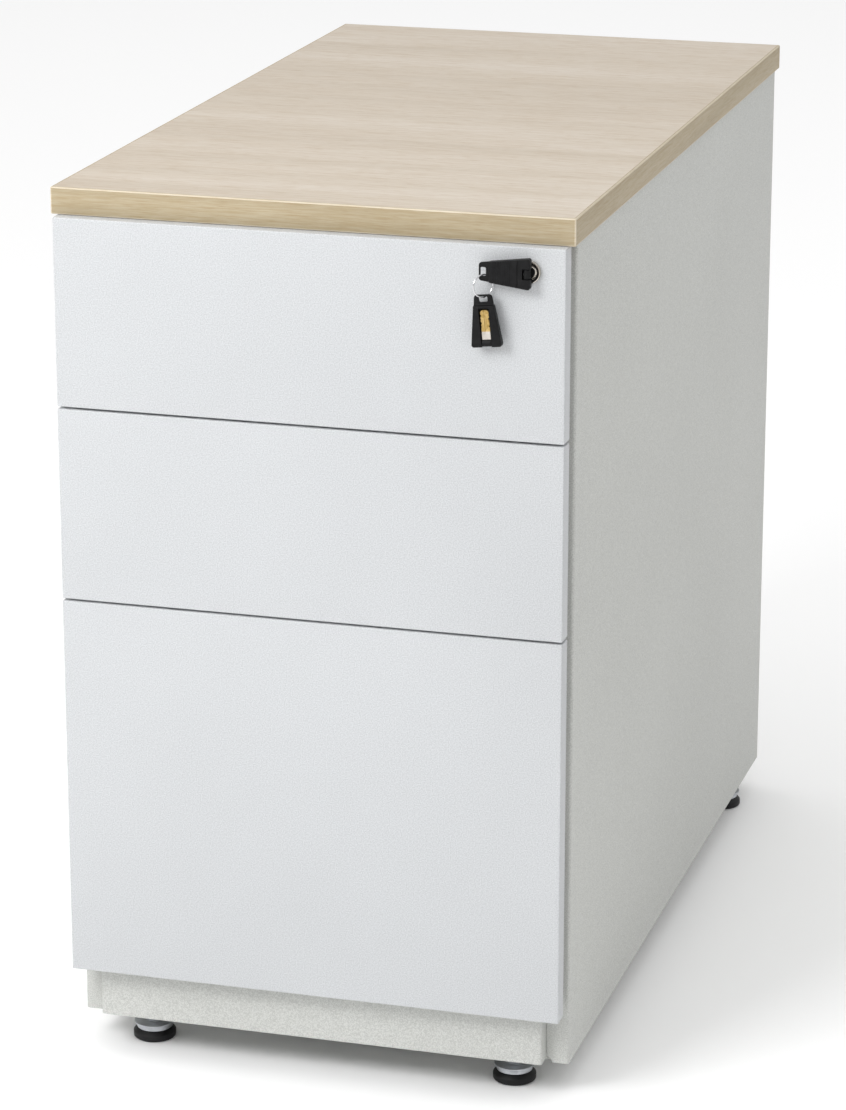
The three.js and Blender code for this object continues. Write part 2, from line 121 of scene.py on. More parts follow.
def cutOut(piece, *cutters):
    for cutter in cutters:
        applyModifier(piece, "BOOLEAN", object=cutter, operation="DIFFERENCE", solver="EXACT")
        bpy.data.objects.remove(cutter)
    return piece


def repeat(piece, count, step):  # a row of the same shape in one piece
    offset = Vector(step) * mm
    return applyModifier(
        piece, "ARRAY", count=count, use_relative_offset=False,
        use_constant_offset=True, constant_offset_displace=offset,
    )


def openBlock(name, low, high, *openSides):  # the skin of a block with some sides taken off
    piece = addBlock(name, low, high)
    pick(piece, "FACE", lambda face: any(facing(*side)(face) for side in openSides))
    bpy.ops.mesh.delete(type="FACE")
    activate(piece)
    return piece


def foldSheet(skin, radius, thickness, steps=5):  # rounds the folds of a skin and makes it sheet metal
    normals = {}
    for face in skin.data.polygons:
        for key in face.edge_keys:
            normals.setdefault(key, []).append(face.normal.copy())
    folds = {key for key, pair in normals.items() if len(pair) == 2 and pair[0].dot(pair[1]) < 0.5}
    pick(skin, "EDGE", lambda edge: edge.key in folds)
    bpy.ops.mesh.bevel(offset=radius * mm, segments=steps, affect="EDGES")
    activate(skin)
    applyModifier(
        skin, "SOLIDIFY", thickness=thickness * mm, offset=-1,
        use_even_offset=True, use_quality_normals=True,
    )
    return easeEdges(skin, 0.15, 1, 50)


def turnPiece(name, profile, sides=48):  # turned about Z from rings given as radius and height
    closed = profile[0] == profile[-1]
    activate()
    radius, height = profile[0]
    bpy.ops.mesh.primitive_circle_add(vertices=sides, radius=radius * mm, location=(0, 0, height * mm))
    piece = bpy.context.object
    piece.name = name
    bpy.ops.object.transform_apply(location=True, rotation=True, scale=True)
    pick(piece, "EDGE", lambda edge: True)
    for nextRadius, nextHeight in profile[1:]:
        rise = (nextHeight - height) * mm
        bpy.ops.mesh.extrude_region_move(TRANSFORM_OT_translate={"value": (0, 0, rise)})
        size = nextRadius / radius
        bpy.ops.transform.resize(value=(size, size, 1), center_override=(0, 0, nextHeight * mm))
        radius, height = nextRadius, nextHeight
    if not closed:
        bpy.ops.mesh.edge_face_add()
        activate(piece)
        uses = Counter(key for face in piece.data.polygons for key in face.edge_keys)
        pick(piece, "EDGE", lambda edge: uses[edge.key] == 1)
        bpy.ops.mesh.edge_face_add()
    bpy.ops.mesh.select_all(action="SELECT")
    bpy.ops.mesh.remove_doubles(threshold=1e-6)
    bpy.ops.mesh.normals_make_consistent(inside=False)
    activate(piece)
    return piece


def move(piece, matrix):  # puts a piece in place, in its mesh
    activate(piece)
    piece.matrix_world = matrix
    bpy.ops.object.transform_apply(location=True, rotation=True, scale=True)
    return piece


def cylinderAlong(axis, radius, length, middle, sides):  # a round cutter along X or Y
    turn = (0, math.pi / 2, 0) if axis == "x" else (math.pi / 2, 0, 0)
    bpy.ops.mesh.primitive_cylinder_add(
        vertices=sides, radius=radius * mm, depth=length * mm, location=middle, rotation=turn
    )
    return bpy.context.object


def copyOf(piece, name, matrix=Matrix()):
    twin = piece.copy()
    twin.data = piece.data.copy()
    twin.name = name
    bpy.context.scene.collection.objects.link(twin)
    twin.data.transform(matrix)
    if matrix.determinant() < 0:
        twin.data.flip_normals()
    return twin


def keep(piece, body, slot, *materials, instead=()):  # finish, body and material of a ready piece
    activate(piece)
    bpy.ops.object.shade_smooth_by_angle(angle=math.radians(35))
    piece.data.name = piece.name
    if materials:
        indices = [face.material_index for face in piece.data.polygons]
        piece.data.materials.clear()
        for material in materials:
            piece.data.materials.append(material)
        piece.data.polygons.foreach_set("material_index", indices)
    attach(piece, body)
    if instead:
        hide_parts(*instead)
    return piece


def finishNode(name, material):  # a CAD node that stays gets its finish
    nodes[name].data.materials.clear()
    nodes[name].data.materials.append(material)


def srgb(code):
    values = [int(code[i : i + 2], 16) / 255 for i in (0, 2, 4)]
    return [v / 12.92 if v < 0.04045 else ((v + 0.055) / 1.055) ** 2.4 for v in values] + [1]


def addNode(tree, kind, inputs=None, ramp=None, **settings):
    node = tree.nodes.new("ShaderNode" + kind)
    for name, value in settings.items():
        setattr(node, name, value)
    for name, value in (inputs or {}).items():
        if isinstance(value, bpy.types.NodeSocket):
            tree.links.new(value, node.inputs[name])
        else:
            node.inputs[name].default_value = value
    if ramp:
        node.color_ramp.elements.remove(node.color_ramp.elements[0])
        for spot, (position, code) in enumerate(ramp):
            stops = node.color_ramp.elements
            stop = stops[0] if spot == 0 else stops.new(position)
            stop.position = position
            stop.color = srgb(code)
    return node


def newMaterial(name):
    material = bpy.data.materials.new(name)
    material.use_nodes = True
    tree = material.node_tree
    tree.nodes.clear()
    shader = addNode(tree, "BsdfPrincipled")
    addNode(tree, "OutputMaterial", {"Surface": shader.outputs["BSDF"]})
    place = addNode(tree, "TexCoord").outputs["Object"]
    return material, tree, shader, place


def powderCoat(name, look):
    # polyester powder baked on steel: a matt film with a fine orange peel and specks of tone
    material, tree, shader, place = newMaterial(name)
    peel = addNode(tree, "TexNoise", {"Vector": place, "Scale": 1 / (look["peel"] * mm), "Detail": 3})
    specks = addNode(tree, "TexNoise", {"Vector": place, "Scale": 1 / (look["speck"] * mm), "Detail": 2})
    clouds = addNode(tree, "TexNoise", {"Vector": place, "Scale": 1 / (look["cloud"] * mm), "Detail": 2})
    tones = [(0.36, look["dark"]), (0.64, look["light"])]
    tone = addNode(tree, "ValToRGB", {"Fac": specks.outputs["Fac"]}, ramp=tones)
    drift = addNode(tree, "ValToRGB", {"Fac": clouds.outputs["Fac"]}, ramp=[(0.3, "FAFAFA"), (0.7, "FFFFFF")])
    colour = addNode(
        tree, "MixRGB", {"Fac": 1, "Color1": tone.outputs["Color"], "Color2": drift.outputs["Color"]},
        blend_type="MULTIPLY",
    )
    bump = addNode(tree, "Bump", {"Height": peel.outputs["Fac"], "Strength": look["bump"], "Distance": 0.05 * mm})
    tree.links.new(colour.outputs["Color"], shader.inputs["Base Color"])
    tree.links.new(bump.outputs["Normal"], shader.inputs["Normal"])
    shader.inputs["Roughness"].default_value = look["roughness"]
    shader.inputs["IOR"].default_value = 1.5
    return material


def woodPrint(name, look):
    # a wood print pressed under melamine resin: long pores and slow bands along the grain, dull gloss
    material, tree, shader, place = newMaterial(name)
    stretch = [1 / look["length"] if axis == look["along"] else 1 for axis in "xyz"]
    grain = addNode(tree, "Mapping", {"Vector": place, "Scale": stretch})
    along = {"Vector": grain.outputs["Vector"]}
    wanderLook = {"Scale": 1 / (look["band"] * mm), "Detail": 4, "Distortion": 0.6}
    lineLook = {"Scale": 1 / (look["line"] * mm), "Detail": 5, "Roughness": 0.6}
    wander = addNode(tree, "TexNoise", along | wanderLook)
    lines = addNode(tree, "TexNoise", along | lineLook)
    pores = addNode(tree, "TexNoise", along | {"Scale": 1 / (look["pore"] * mm), "Detail": 2})
    bands = addNode(tree, "ValToRGB", {"Fac": wander.outputs["Fac"]}, ramp=look["bands"])
    streaks = addNode(tree, "ValToRGB", {"Fac": lines.outputs["Fac"]}, ramp=look["streaks"])
    dots = addNode(tree, "ValToRGB", {"Fac": pores.outputs["Fac"]}, ramp=[(0.3, "E9DFD2"), (0.45, "FFFFFF")])
    mixed = addNode(
        tree, "MixRGB", {"Fac": 1, "Color1": bands.outputs["Color"], "Color2": streaks.outputs["Color"]},
        blend_type="MULTIPLY",
    )
    colour = addNode(
        tree, "MixRGB", blend_type="MULTIPLY",
        inputs={"Fac": look["poreDepth"], "Color1": mixed.outputs["Color"], "Color2": dots.outputs["Color"]},
    )
    bump = addNode(tree, "Bump", {"Height": lines.outputs["Fac"], "Strength": 0.25, "Distance": 0.05 * mm})
    tree.links.new(colour.outputs["Color"], shader.inputs["Base Color"])
    tree.links.new(bump.outputs["Normal"], shader.inputs["Normal"])
    shader.inputs["Roughness"].default_value = look["roughness"]
    shader.inputs["IOR"].default_value = 1.5
    return material


def metalFinish(name, look):
    # plated or milled metal: tone and gloss vary in patches, with drawn lines along one axis
    material, tree, shader, place = newMaterial(name)
    stretch = [1 / look["length"] if axis == look["along"] else 1 for axis in "xyz"]
    drawn = addNode(tree, "Mapping", {"Vector": place, "Scale": stretch})
    lineLook = {"Vector": drawn.outputs["Vector"], "Scale": 1 / (look["line"] * mm), "Detail": 3}
    lines = addNode(tree, "TexNoise", lineLook)
    patches = addNode(tree, "TexVoronoi", {"Vector": place, "Scale": 1 / (look["patch"] * mm)})
    tones = [(0.1, look["dark"]), (0.9, look["light"])]
    tone = addNode(tree, "ValToRGB", {"Fac": patches.outputs["Color"]}, ramp=tones)
    smooth, rough = look["roughness"]
    gloss = addNode(tree, "MapRange", {"Value": lines.outputs["Fac"], "To Min": smooth, "To Max": rough})
    relief = {"Height": lines.outputs["Fac"], "Strength": look["bump"], "Distance": 0.02 * mm}
    bump = addNode(tree, "Bump", relief)
    tree.links.new(tone.outputs["Color"], shader.inputs["Base Color"])
    tree.links.new(gloss.outputs["Result"], shader.inputs["Roughness"])
    tree.links.new(bump.outputs["Normal"], shader.inputs["Normal"])
    shader.inputs["Metallic"].default_value = 1
    return material


def mouldedPlastic(name, look):
    # injection moulded in a spark-eroded tool: even colour with a fine leathery grain
    material, tree, shader, place = newMaterial(name)
    cells = {"Vector": place, "Scale": 1 / (look["grain"] * mm)}
    grain = addNode(tree, "TexVoronoi", cells, feature="SMOOTH_F1")
    wear = addNode(tree, "TexNoise", {"Vector": place, "Scale": 1 / (look["wear"] * mm), "Detail": 4})
    tones = [(0.35, look["dark"]), (0.7, look["light"])]
    tone = addNode(tree, "ValToRGB", {"Fac": wear.outputs["Fac"]}, ramp=tones)
    relief = {"Height": grain.outputs["Distance"], "Strength": look["bump"], "Distance": 0.08 * mm}
    bump = addNode(tree, "Bump", relief)
    tree.links.new(tone.outputs["Color"], shader.inputs["Base Color"])
    tree.links.new(bump.outputs["Normal"], shader.inputs["Normal"])
    shader.inputs["Roughness"].default_value = look["roughness"]
    shader.inputs["IOR"].default_value = 1.5
    shader.inputs["Specular IOR Level"].default_value = look["shine"]
    return material


whitePowderCoat = powderCoat("white_powder_coat", {
    "dark": "B6B8BA", "light": "CACCCE", "peel": 1.2, "speck": 1.0, "cloud": 240,
    "bump": 0.3, "roughness": 0.5,
})  # the peel and specks are drawn coarser than the real 0.5 mm, to show
# the body coat is the fronts' white coat made darker and warmer: its grey is painted shade, matched to the shaded
# right side and the plinth under the fronts
bodyCoatPaintedShade = powderCoat("body_coat_painted_shade", {
    "dark": "B2B3AF", "light": "CDCECA", "peel": 1.2, "speck": 0.9, "cloud": 240,
    "bump": 0.5, "roughness": 0.58,
})
melamineTop = woodPrint("melamine_maple_top", {
    "along": "x", "length": 14, "band": 70, "line": 3, "pore": 0.9, "poreDepth": 0.9,
    "roughness": 0.42,
    "bands": [(0.25, "BDB1A1"), (0.5, "C7BCAD"), (0.75, "CFC6BA")],
    "streaks": [(0.3, "F1EAE1"), (0.55, "FFFFFF")],
})
bandLook = {
    "length": 22, "band": 14, "line": 1.1, "pore": 0.5, "poreDepth": 0.6, "roughness": 0.5,
    "bands": [(0.3, "A39579"), (0.7, "B0A389")],
    "streaks": [(0.3, "ECE3D1"), (0.6, "FFFFFF")],
}
edgeBandAcross = woodPrint("abs_edge_band_across", bandLook | {"along": "x"})
edgeBandBack = woodPrint("abs_edge_band_back", bandLook | {"along": "y"})
paleArris = woodPrint("abs_edge_band_arris", bandLook | {
    "along": "x", "bands": [(0.3, "C8BDA8"), (0.7, "D2C8B5")],
    "streaks": [(0.3, "F4EEE2"), (0.6, "FFFFFF")],
})
zincPlate = metalFinish("zinc_plated_steel", {
    "dark": "B3B6BA", "light": "BFC2C6", "along": "y", "length": 30, "line": 0.6, "patch": 7,
    "roughness": (0.28, 0.42), "bump": 0.2,
})
nickelPlate = metalFinish("nickel_plated_zinc", {
    "dark": "BDB6AC", "light": "D6D0C8", "along": "y", "length": 4, "line": 0.4, "patch": 3,
    "roughness": (0.14, 0.26), "bump": 0.1,
})
springSteel = metalFinish("nickel_plated_spring_wire", {
    "dark": "C6C6C8", "light": "DCDCDE", "along": "z", "length": 5, "line": 0.3, "patch": 2,
    "roughness": (0.12, 0.24), "bump": 0.1,
})
milledBrass = metalFinish("milled_brass", {
    "dark": "AE8F50", "light": "D2B67C", "along": "z", "length": 9, "line": 0.25, "patch": 2.5,
    "roughness": (0.22, 0.4), "bump": 0.3,
})
keyPlastic = mouldedPlastic("moulded_black_nylon", {
    "dark": "070708", "light": "131314", "grain": 0.5, "wear": 5, "bump": 0.8,
    "roughness": 0.5, "shine": 0.2,
})
footPlastic = mouldedPlastic("moulded_black_polypropylene", {
    "dark": "101011", "light": "1C1C1D", "grain": 0.6, "wear": 9, "bump": 0.4,
    "roughness": 0.5, "shine": 0.3,
})
print("materials ready")

# camera, a pale floor and soft lights
view = {"place": (0.940, -3.318, 1.405), "pitch": 17.15, "yaw": 16.1, "lens": 131.4}
bpy.ops.object.camera_add(
    location=view["place"], rotation=(math.radians(90 - view["pitch"]), 0, math.radians(view["yaw"]))
)
camera = bpy.context.object
camera.data.lens = view["lens"]
bpy.context.scene.camera = camera
bpy.context.scene.view_settings.view_transform = "Standard"

studio = [
    {"name": "keyLight", "place": (-0.9, -2.0, 1.9), "aim": (0, -0.4, 0.62), "size": 1.0, "power": 32},
    {"name": "windowLight", "place": (-2.6, -3.4, 1.8), "aim": (0, -0.3, 0.5), "size": 3.0, "power": 10},
    {"name": "ceilingLight", "place": (0, 0, 7.0), "aim": (0, 0, 0), "size": 20, "power": 820},
]
for light in studio:
    bpy.ops.object.light_add(type="AREA", location=light["place"])
    lamp = bpy.context.object
    lamp.name = light["name"]
    lamp.data.size = light["size"]
    lamp.data.energy = light["power"]
    lamp.rotation_euler = (Vector(light["aim"]) - lamp.location).to_track_quat("-Z", "Y").to_euler()
world = bpy.data.worlds.new("studio")
world.use_nodes = True
world.node_tree.nodes["Background"].inputs["Color"].default_value = srgb("FBFBFB")
world.node_tree.nodes["Background"].inputs["Strength"].default_value = 0.52
bpy.context.scene.world = world

activate()
bpy.ops.mesh.primitive_plane_add(size=60)
floor = bpy.context.object
floor.name = "studioFloor"
paleFloor, _, shader, _ = newMaterial("pale_studio_floor")
shader.inputs["Base Color"].default_value = srgb("FFFFFF")
shader.inputs["Roughness"].default_value = 0.9
floor.data.materials.append(paleFloor)
floor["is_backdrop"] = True
print("camera, lights and floor ready")

# edge bands round the worktop, with small arrises given a paler colour than the band
bandShape = {"arris": 1.1, "steps": 3}
inward = {"front": (0, 1, 0), "back": (0, -1, 0), "left": (1, 0, 0), "right": (-1, 0, 0)}
for side, direction in inward.items():
    node = f"edge_band_{side}"
    low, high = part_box(node)
    band = addBlock(f"worktop_band_{side}", low, high)
    axis = 1 if side in ("front", "back") else 0
    innerPlane = (high if sum(direction) > 0 else low)[axis]

    def isArris(edge):
        ends = edgeEnds(band, edge)
        onInner = all(abs(end[axis] - innerPlane) < 1e-5 for end in ends)
        return not onInner and (axis == 1 or abs(ends[0].y - ends[1].y) > 0.1)

    pick(band, "EDGE", isArris)
    bpy.ops.mesh.bevel(offset=bandShape["arris"] * mm, segments=bandShape["steps"], affect="EDGES")
    activate(band)
    for face in band.data.polygons:
        face.material_index = int(max(abs(part) for part in face.normal) < 0.97)
    wood = edgeBandAcross if axis == 1 else edgeBandBack
    keep(band, "carcass", "wood_edge", wood, paleArris, instead=[node])
print("edge bands ready")

# side panels folded in one piece, with a flange at the front and at the back
panelShape = {"fold": 2.6, "sheet": 1.2, "rearFlange": 14, "toe": 5, "toeCut": 8}
for side, name in ((-1, "left"), (1, "right")):
    low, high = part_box(f"side_panel_{name}")
    inner = low.x if side > 0 else high.x
    skin = openBlock(f"side_sheet_{name}", low, high, (-side, 0, 0), (0, 0, 1), (0, 0, -1))
    rearEdge = Vector((inner, high.y))
    pick(skin, "VERT", lambda vertex: (vertex.co.xy - rearEdge).length < 1e-5)
    outer = high.x if side > 0 else -low.x
    shift = side * (outer - panelShape["rearFlange"] * mm) - inner
    bpy.ops.transform.translate(value=(shift, 0, 0))
    panel = foldSheet(skin, panelShape["fold"], panelShape["sheet"], 6)
    toeCorner = (inner, low.y, low.z)
    cutOut(panel, cylinderAlong("y", panelShape["toe"], panelShape["toeCut"], toeCorner, 32))
    keep(panel, "carcass", "body_paint", bodyCoatPaintedShade, instead=[f"side_panel_{name}"])
print("side panels ready")

# plinth folded back at both ends and over the top
plinthShape = {"fold": 2.4, "sheet": 1.2}
low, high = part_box("plinth_panel")
skin = openBlock("plinth_sheet", low, high, (0, 1, 0), (0, 0, -1))
plinth = foldSheet(skin, plinthShape["fold"], plinthShape["sheet"])
keep(plinth, "carcass", "body_paint", bodyCoatPaintedShade, instead=["plinth_panel"])

# back panel with a pressed field, held by blind rivets
backShape = {
    "border": 26, "slope": 5, "depth": 0.7, "sheet": 0.4,
    "rivet": [(2.6, 0), (3.0, 0.25), (2.7, 0.8), (1.9, 1.15), (0.8, 1.25)],
    "rivetHalf": 190, "rivetLevels": (45, 207, 369, 531, 700), "middleLevels": (45, 706),
}
low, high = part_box("back_panel")
otherSides = [(1, 0, 0), (-1, 0, 0), (0, -1, 0), (0, 0, 1), (0, 0, -1)]
skin = openBlock("back_sheet", low, high, *otherSides)
pick(skin, "FACE", lambda face: True)
bpy.ops.mesh.inset(thickness=backShape["border"] * mm)
bpy.ops.mesh.inset(thickness=backShape["slope"] * mm)
bpy.ops.transform.translate(value=(0, -backShape["depth"] * mm, 0))
activate(skin)
backWall = backShape["sheet"] * mm
backSheet = applyModifier(skin, "SOLIDIFY", thickness=backWall, offset=-1, use_even_offset=True)
keep(backSheet, "carcass", "body_paint", bodyCoatPaintedShade, instead=["back_panel"])
rivetHead = turnPiece("rivet", backShape["rivet"], 20)
toBack = Matrix.Rotation(math.radians(-90), 4, "X")
half = backShape["rivetHalf"]
spots = [(side * half, level) for side in (-1, 1) for level in backShape["rivetLevels"]]
spots += [(0, level) for level in backShape["middleLevels"]]
for count, (across, level) in enumerate(spots):
    spot = Matrix.Translation((across * mm, high.y, level * mm))
    keep(copyOf(rivetHead, f"back_rivet_{count}", spot @ toBack), "carcass", "zinc", zincPlate)
bpy.data.objects.remove(rivetHead)
print("plinth and back panel ready")

# rails, uprights and runner members: channels folded from strip, open to one side
channelShape = {"fold": 1.5, "sheet": 1.2}
uprightSlots = {"half": 2, "proud": 3, "first": 20, "height": 12, "pitch": 32, "count": 20}


def addChannel(node, name, *openSides, sheet=channelShape["sheet"], fold=channelShape["fold"]):
    low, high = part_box(node)
    return foldSheet(openBlock(name, low, high, *openSides), fold, sheet, 4)


for end in ("front", "rear"):
    rail = addChannel(f"top_rail_{end}", f"cross_rail_{end}", (1, 0, 0), (-1, 0, 0), (0, 0, -1))
    keep(rail, "carcass", "zinc", zincPlate, instead=[f"top_rail_{end}"])
    for side, sideName in ((-1, "left"), (1, "right")):
        node = f"upright_{end}_{sideName}"
        upright = addChannel(node, f"runner_post_{end}_{sideName}", (side, 0, 0), (0, 0, 1), (0, 0, -1))
        low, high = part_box(node)
        middle = (low.y + high.y) / 2
        proud, half = uprightSlots["proud"] * mm, uprightSlots["half"] * mm
        bottom = low.z + uprightSlots["first"] * mm
        slotLow = Vector((low.x - proud, middle - half, bottom))
        slotHigh = Vector((high.x + proud, middle + half, bottom + uprightSlots["height"] * mm))
        slots = addBlock("slots", slotLow, slotHigh)
        repeat(slots, uprightSlots["count"], (0, 0, uprightSlots["pitch"]))
        keep(cutOut(upright, slots), "carcass", "zinc", zincPlate, instead=[node])

runnerShape = {"sheet": 1.1, "hole": 2.6, "cut": 4, "holes": (30, 160, 290, 420)}
for drawer in ("file", "middle", "top"):
    for side, sideName in ((-1, "left"), (1, "right")):
        ends = [(0, 1, 0), (0, -1, 0)]
        kinds = {"fixed": (-side, "carcass"), "moving": (side, f"drawer_{drawer}")}
        if drawer == "file":
            kinds["middle"] = (-side, "file_runner_middles")
        for kind, (opening, body) in kinds.items():
            node = f"runner_{kind}_{drawer}_{sideName}"
            name = f"slide_{kind}_{drawer}_{sideName}"
            member = addChannel(node, name, (opening, 0, 0), *ends, sheet=runnerShape["sheet"])
            low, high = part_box(node)
            level = (low.z + high.z) / 2
            webSide = low.x if opening > 0 else high.x
            bores = []
            for back in runnerShape["holes"]:
                middle = (webSide, low.y + back * mm, level)
                bores.append(cylinderAlong("x", runnerShape["hole"], runnerShape["cut"], middle, 20))
            keep(cutOut(member, *bores), body, "zinc", zincPlate, instead=[node])
print("rails, uprights and runners ready")

# drawer fronts: steel pans with a lip round the open back
frontShape = {"fold": 1.1, "sheet": 1.2, "lip": 20, "mouthHalf": 170}
frontReach = {"file": (0, 0.6), "middle": (0.6, 0.6), "top": (0.6, 1.8)}  # down and up, to narrow the gaps
lockPlace = {"across": 180.4, "level": 699, "hole": 8.3, "proud": 2}


def lockBore(backTo):  # a cutter from just before the front to a depth behind it
    proud = lockPlace["proud"]
    middle = at(lockPlace["across"], (backTo - proud) / 2, lockPlace["level"])
    return cylinderAlong("y", lockPlace["hole"], backTo + proud, middle, 48)


for drawer in ("file", "middle", "top"):
    node = f"drawer_front_{drawer}"
    low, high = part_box(node)
    down, up = frontReach[drawer]
    panLow, panHigh = low - Vector((0, 0, down * mm)), high + Vector((0, 0, up * mm))
    pan = addBlock(f"front_pan_{drawer}", panLow, panHigh)
    pick(pan, "FACE", facing(0, 1, 0))
    bpy.ops.mesh.inset(thickness=frontShape["lip"] * mm)
    narrow = frontShape["mouthHalf"] * mm / (high.x - frontShape["lip"] * mm)
    bpy.ops.transform.resize(value=(narrow, 1, 1), center_override=(low + high) / 2)
    bpy.ops.mesh.delete(type="FACE")
    activate(pan)
    foldSheet(pan, frontShape["fold"], frontShape["sheet"], 5)
    if drawer == "top":
        cutOut(pan, lockBore(20))
    keep(pan, f"drawer_{drawer}", "front_paint", whitePowderCoat, instead=[node])
print("drawer fronts ready")

# drawer boxes: an inner front, a folded tray with divider slots and a pressed floor, and a rolled edge
trayShape = {
    "half": 177, "front": 33.2, "fold": 2.4, "sheet": 1.2,
    "floorBorder": 18, "floorSlope": 3, "floorRise": 0.9,
    "slotFront": 100, "slotWidth": 2.4, "slotPitch": 50, "slotEnd": 130,
    "edgeHeight": 9, "edgeOuter": 175.8, "edgeInner": 173.6, "edgeEase": 0.9,
}
innerShape = {"half": 190, "front": 17.3, "back": 33, "lip": 10, "fold": 1.8, "sheet": 1.2}
# the divider slots start this far above the tray's floor, and end this far below its top
slotSpan = {"file": (135, 25), "middle": (64, 12), "top": (64, 12)}
screwShape = {
    "head": [(3.6, 0), (4.0, 0.5), (3.8, 1.3), (2.8, 2.0), (1.2, 2.3)],
    "cross": (2.0, 0.45), "floor": 1.2, "across": 150, "levels": (0.25, 0.75),
}
boxes = {
    "file": {"inner": (89, 397), "tray": (92, 340), "back": 740},
    "middle": {"inner": (414, 558), "tray": (417, 517), "back": 640},
    "top": {"inner": (575, 713), "tray": (578, 678), "back": 640},
}
screwHead = turnPiece("screw", screwShape["head"], 24)
long, short = screwShape["cross"]
for halfX, halfY in ((short, long), (long, short)):
    crossLow, crossHigh = Vector((-halfX, -halfY, screwShape["floor"])), Vector((halfX, halfY, 3))
    cutOut(screwHead, addBlock("cross", crossLow * mm, crossHigh * mm))
for drawer, size in boxes.items():
    body = f"drawer_{drawer}"
    bottom, top = size["inner"]
    half = innerShape["half"]
    innerLow, innerHigh = at(-half, innerShape["front"], bottom), at(half, innerShape["back"], top)
    inner = addBlock(f"inner_front_{drawer}", innerLow, innerHigh)
    pick(inner, "FACE", facing(0, -1, 0))
    bpy.ops.mesh.inset(thickness=innerShape["lip"] * mm)
    bpy.ops.mesh.delete(type="FACE")
    activate(inner)
    foldSheet(inner, innerShape["fold"], innerShape["sheet"], 4)
    if drawer == "top":
        cutOut(inner, lockBore(40))
    keep(inner, body, "body_paint", bodyCoatPaintedShade, instead=[f"drawer_box_{drawer}"])

    bottom, top = size["tray"]
    half = trayShape["half"]
    trayLow, trayHigh = at(-half, trayShape["front"], bottom), at(half, size["back"], top)
    tray = openBlock(f"tray_{drawer}", trayLow, trayHigh, (0, -1, 0), (0, 0, 1))
    pick(tray, "FACE", facing(0, 0, -1))
    bpy.ops.mesh.inset(thickness=trayShape["floorBorder"] * mm)
    bpy.ops.mesh.inset(thickness=trayShape["floorSlope"] * mm)
    bpy.ops.transform.translate(value=(0, 0, trayShape["floorRise"] * mm))
    activate(tray)
    foldSheet(tray, trayShape["fold"], trayShape["sheet"], 4)
    fromFloor, fromTop = slotSpan[drawer]
    count = int((size["back"] - trayShape["slotEnd"]) / trayShape["slotPitch"])
    slotFront, past = trayShape["slotFront"], half + 3
    slotLow = at(-past, slotFront, bottom + fromFloor)
    slotHigh = at(past, slotFront + trayShape["slotWidth"], top - fromTop)
    slots = repeat(addBlock("slots", slotLow, slotHigh), count, (0, trayShape["slotPitch"], 0))
    cutOut(tray, slots)
    keep(tray, body, "body_paint", bodyCoatPaintedShade)

    for side, sideName in ((-1, "left"), (1, "right")):
        edges = sorted((side * trayShape["edgeOuter"], side * trayShape["edgeInner"]))
        rollLow = at(edges[0], 33.6, top - trayShape["edgeHeight"])
        rollHigh = at(edges[1], size["back"] - 4, top - 0.1)
        roll = addBlock(f"rolled_edge_{drawer}_{sideName}", rollLow, rollHigh)
        easeEdges(roll, trayShape["edgeEase"], 4)
        keep(roll, body, "body_paint", bodyCoatPaintedShade)

    across = screwShape["across"]
    screwSpots = [(side * across, level) for level in screwShape["levels"] for side in (-1, 1)]
    for count, (across, level) in enumerate(screwSpots):
        spot = Matrix.Translation(at(across, innerShape["back"], bottom + level * (top - bottom)))
        keep(copyOf(screwHead, f"front_screw_{drawer}_{count}", spot @ toBack), body, "zinc", zincPlate)
bpy.data.objects.remove(screwHead)
for sideName in ("left", "right"):
    finishNode(f"file_rail_{sideName}", zincPlate)
print("drawer boxes ready")

# feet: a black glide under a zinc washer, a flange and an M10 thread
footShape = {
    "pad": [
        (15.6, 0), (16.4, 0.15), (17.3, 0.7), (17.9, 1.5), (18, 2.4), (18, 5.4), (17.8, 6.0), (17.2, 6.6),
        (16.0, 8.2), (15.4, 8.8), (14.6, 9), (13.2, 9), (13.0, 8.6), (12.2, 8.6), (12.0, 9),
    ],
    "washer": [
        (14.4, 9), (15, 9.4), (15, 12.4), (14.6, 13), (16.4, 13), (17, 13.4), (17, 14.6), (16.4, 15),
        (7.5, 15), (7.2, 15.3), (7.2, 17.2), (6.6, 17.6), (5, 17.6),
    ],
    "pitch": 1.5, "crest": 4.95, "root": 4.45, "threadFrom": 18.0, "threadTo": 60.5,
}
thread = []
height = footShape["threadFrom"]
while height < footShape["threadTo"]:
    thread += [(footShape["crest"], height), (footShape["root"], height + footShape["pitch"] / 2)]
    height += footShape["pitch"]
stemRings = footShape["washer"] + thread + [(4.4, 61.2), (3.6, 62)]
pad = turnPiece("glide", footShape["pad"], 64)
stem = turnPiece("stem", stemRings, 40)
for row in ("front", "rear"):
    for side in ("left", "right"):
        low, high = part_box(f"foot_pad_{row}_{side}")
        spot = Matrix.Translation(((low.x + high.x) / 2, (low.y + high.y) / 2, 0))
        body = f"foot_{row}_{side}"
        glide = copyOf(pad, f"glide_{row}_{side}", spot)
        keep(glide, body, "black_plastic", footPlastic, instead=[f"foot_pad_{row}_{side}"])
        post = copyOf(stem, f"foot_thread_{row}_{side}", spot)
        keep(post, body, "zinc", zincPlate, instead=[f"foot_stem_{row}_{side}"])
bpy.data.objects.remove(pad)
bpy.data.objects.remove(stem)
print("feet ready")

